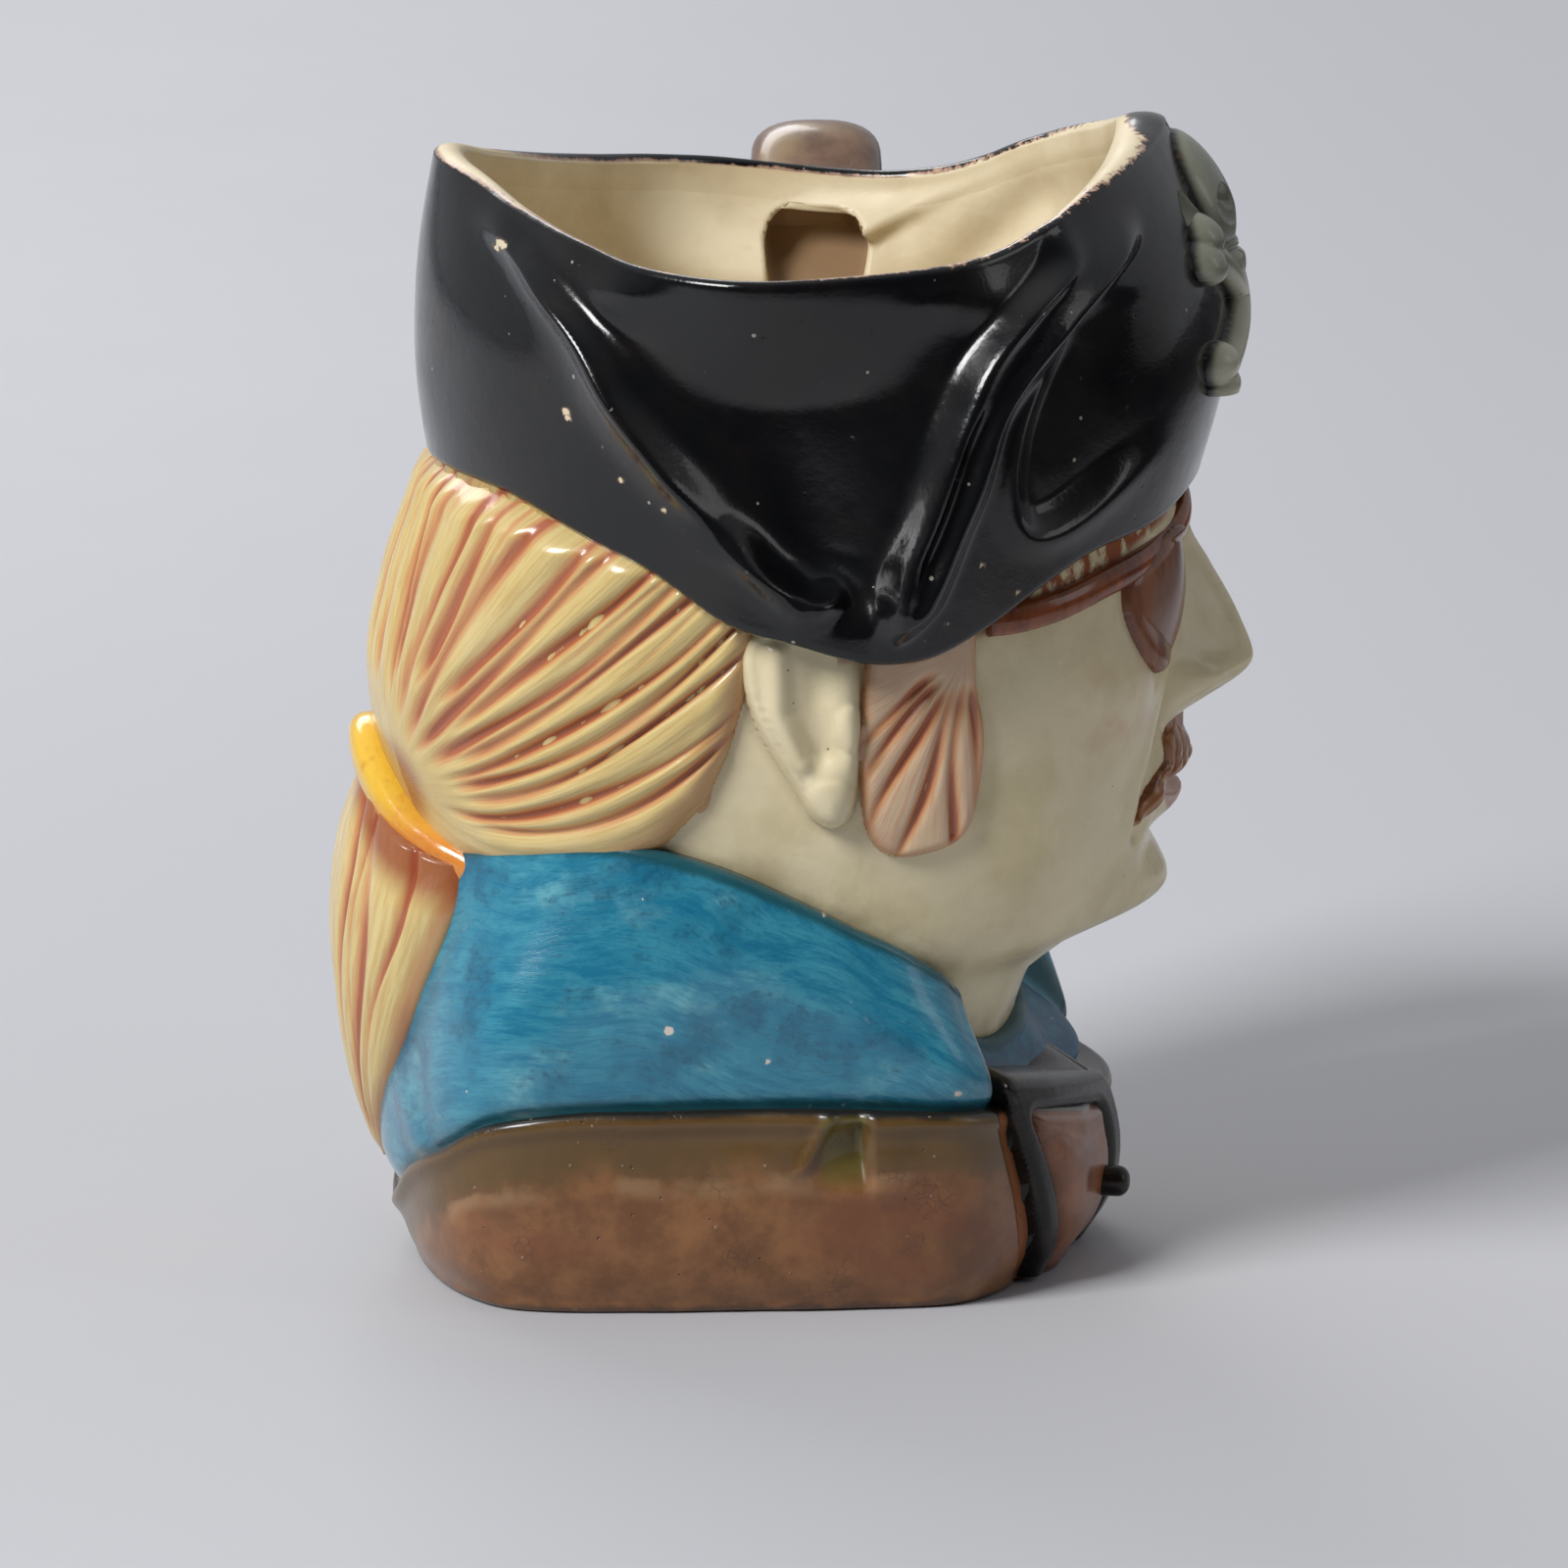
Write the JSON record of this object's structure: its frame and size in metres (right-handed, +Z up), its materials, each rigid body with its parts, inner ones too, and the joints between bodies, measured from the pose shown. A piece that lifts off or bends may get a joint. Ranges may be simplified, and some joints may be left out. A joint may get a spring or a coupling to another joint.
{
  "type": "character mug",
  "caption": "Slip-cast glazed pottery mug shaped as a seafarer's head with a three-cornered hat, ponytail, collar, buckled belt and side handle.",
  "frame": {"origin": "on the flat underside, below the middle of the mouth", "axes": "+X the way the face looks, +Y towards the handle, +Z up"},
  "size_m": [0.1314, 0.148, 0.165],
  "materials": {
    "glazed_pottery": "hand-painted under a clear gloss glaze"
  },
  "bodies": {
    "root": {"mug": "glazed_pottery"}
  },
  "joints": []
}
